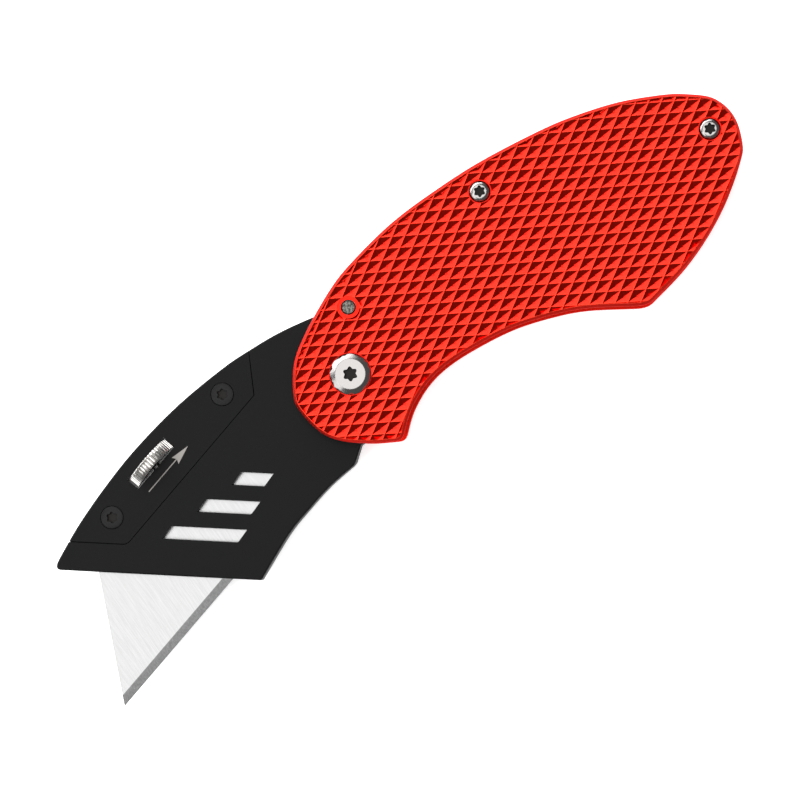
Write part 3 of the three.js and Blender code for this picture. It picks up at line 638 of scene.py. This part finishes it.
blade_steel = new_material("blade_steel", (0.27, 0.27, 0.275), 1.0, 0.25)
tree = blade_steel.node_tree
bevel_width, bevel_blur = 1.5, 0.04
space = add(tree, "ShaderNodeTexCoord").outputs["Object"]
edge_point = Vector((*on_blade(0, 0), 0)) * MM
from_edge = add(tree, "ShaderNodeVectorMath", {0: space, 1: edge_point}, operation="SUBTRACT").outputs[0]
up_blade = add(tree, "ShaderNodeVectorMath", {0: from_edge, 1: (-lean_sin, lean_cos, 0)},
               operation="DOT_PRODUCT").outputs["Value"]
bevel = add(tree, "ShaderNodeMapRange", {
    "Value": up_blade, "To Min": 1, "To Max": 0,
    "From Min": (bevel_width - bevel_blur) * MM, "From Max": (bevel_width + bevel_blur) * MM,
}).outputs[0]
lines = grain(blade_steel, 9000, 0.10, (1, 0.03, 1), math.radians(-22), 3)


def ground_tone(darkest, lightest):
    """A grey that follows the grinding lines."""
    shade = add(tree, "ShaderNodeMapRange", {
        "Value": lines, "From Min": 0.35, "From Max": 0.65, "To Min": darkest, "To Max": lightest,
    }).outputs[0]
    return add(tree, "ShaderNodeCombineColor", {0: shade, 1: shade, 2: shade}).outputs[0]


tone = add(tree, "ShaderNodeMix", {
    "Factor": bevel, 6: ground_tone(0.253, 0.281), 7: ground_tone(0.11, 0.17),
}, data_type="RGBA").outputs[2]
tree.links.new(tone, tree.nodes["Principled BSDF"].inputs["Base Color"])
finish(["blade"], blade_steel)

# ---- Thumbwheel ------------------------------------------------------------------------------------
# A steel wheel on the clamp screw, its rim knurled with straight ridges so that a thumb can turn it.

knurl, given, made = new_tree("straight_knurl", [
    ("Wheel", "Geometry"), ("Ridges", "Int"), ("Depth", "Float"), ("Rim radius", "Float"),
    ("Material", "Material"),
])
where = add(knurl, "GeometryNodeInputPosition").outputs[0]
parts = add(knurl, "ShaderNodeSeparateXYZ", {0: where}).outputs
angle = add(knurl, "ShaderNodeMath", {0: parts["Y"], 1: parts["X"]}, operation="ARCTAN2").outputs[0]
phase = add(knurl, "ShaderNodeMath", {0: angle, 1: given["Ridges"]}, operation="MULTIPLY").outputs[0]
wave = add(knurl, "ShaderNodeMath", {0: phase}, operation="COSINE").outputs[0]
dip = add(knurl, "ShaderNodeMapRange", {
    "Value": wave, "From Min": -1, "From Max": 0.4, "To Min": 1, "To Max": 0,
}).outputs[0]
radial = add(knurl, "ShaderNodeVectorMath", {0: where, 1: (1, 1, 0)}, operation="MULTIPLY").outputs[0]
reach = add(knurl, "ShaderNodeVectorMath", {0: radial}, operation="LENGTH").outputs["Value"]
on_rim = add(knurl, "ShaderNodeMath", {0: reach, 1: given["Rim radius"]},
             operation="GREATER_THAN").outputs[0]
depth = add(knurl, "ShaderNodeMath", {0: dip, 1: given["Depth"]}, operation="MULTIPLY").outputs[0]
sink = add(knurl, "ShaderNodeMath", {0: depth, 1: on_rim}, operation="MULTIPLY").outputs[0]
outward = add(knurl, "ShaderNodeVectorMath", {0: radial}, operation="NORMALIZE").outputs[0]
inward = add(knurl, "ShaderNodeMath", {0: sink, 1: -1.0}, operation="MULTIPLY").outputs[0]
moved = add(knurl, "ShaderNodeVectorMath", {0: outward, "Scale": inward}, operation="SCALE").outputs[0]
rolled = add(knurl, "GeometryNodeSetPosition", {"Geometry": given["Wheel"], "Offset": moved}).outputs[0]
whole = add(knurl, "GeometryNodeRealizeInstances", {"Geometry": rolled}).outputs[0]
coloured = add(knurl, "GeometryNodeSetMaterial",
               {"Geometry": whole, "Material": given["Material"]}).outputs[0]
knurl.links.new(coloured, made.inputs[0])

wheel_profile = [
    (0.85, -1.05), (4.45, -1.05), (4.80, -1.04), (4.87, -1.02), (4.9, -0.98), (4.9, 0.98), (4.87, 1.02),
    (4.80, 1.04), (4.45, 1.05), (0.85, 1.05),
]
wheel_steps = 600
around = [2 * math.pi * i / wheel_steps for i in range(wheel_steps)]
wheel_verts = [
    (radius * math.cos(angle), radius * math.sin(angle), height)
    for radius, height in wheel_profile for angle in around
]
wheel_faces = []
for ring in range(len(wheel_profile)):
    low, high = ring * wheel_steps, (ring + 1) % len(wheel_profile) * wheel_steps
    for i in range(wheel_steps):
        j = (i + 1) % wheel_steps
        wheel_faces.append([low + i, low + j, high + j, high + i])
wheel_steel = new_material("wheel_steel", (0.50, 0.49, 0.475), 1.0, 0.22)
grain(wheel_steel, 6000, 0.15)
wheel = grown("wheel", knurl, mesh_object("wheel_blank", np.array(wheel_verts) * MM, wheel_faces), {
    "Ridges": 50, "Depth": 0.34 * MM, "Rim radius": 4.6 * MM, "Material": wheel_steel,
})
stand = Matrix(((lean_cos, 0, -lean_sin), (lean_sin, 0, lean_cos), (0, -1, 0))).to_4x4()
wheel_middle = Vector((*on_blade(5.4, 24.3), 5.4)) * MM
wheel.data.transform(Matrix.Translation(wheel_middle) @ stand)
smoothed(wheel, 40)
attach(wheel, "wheel")
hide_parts("thumbwheel")
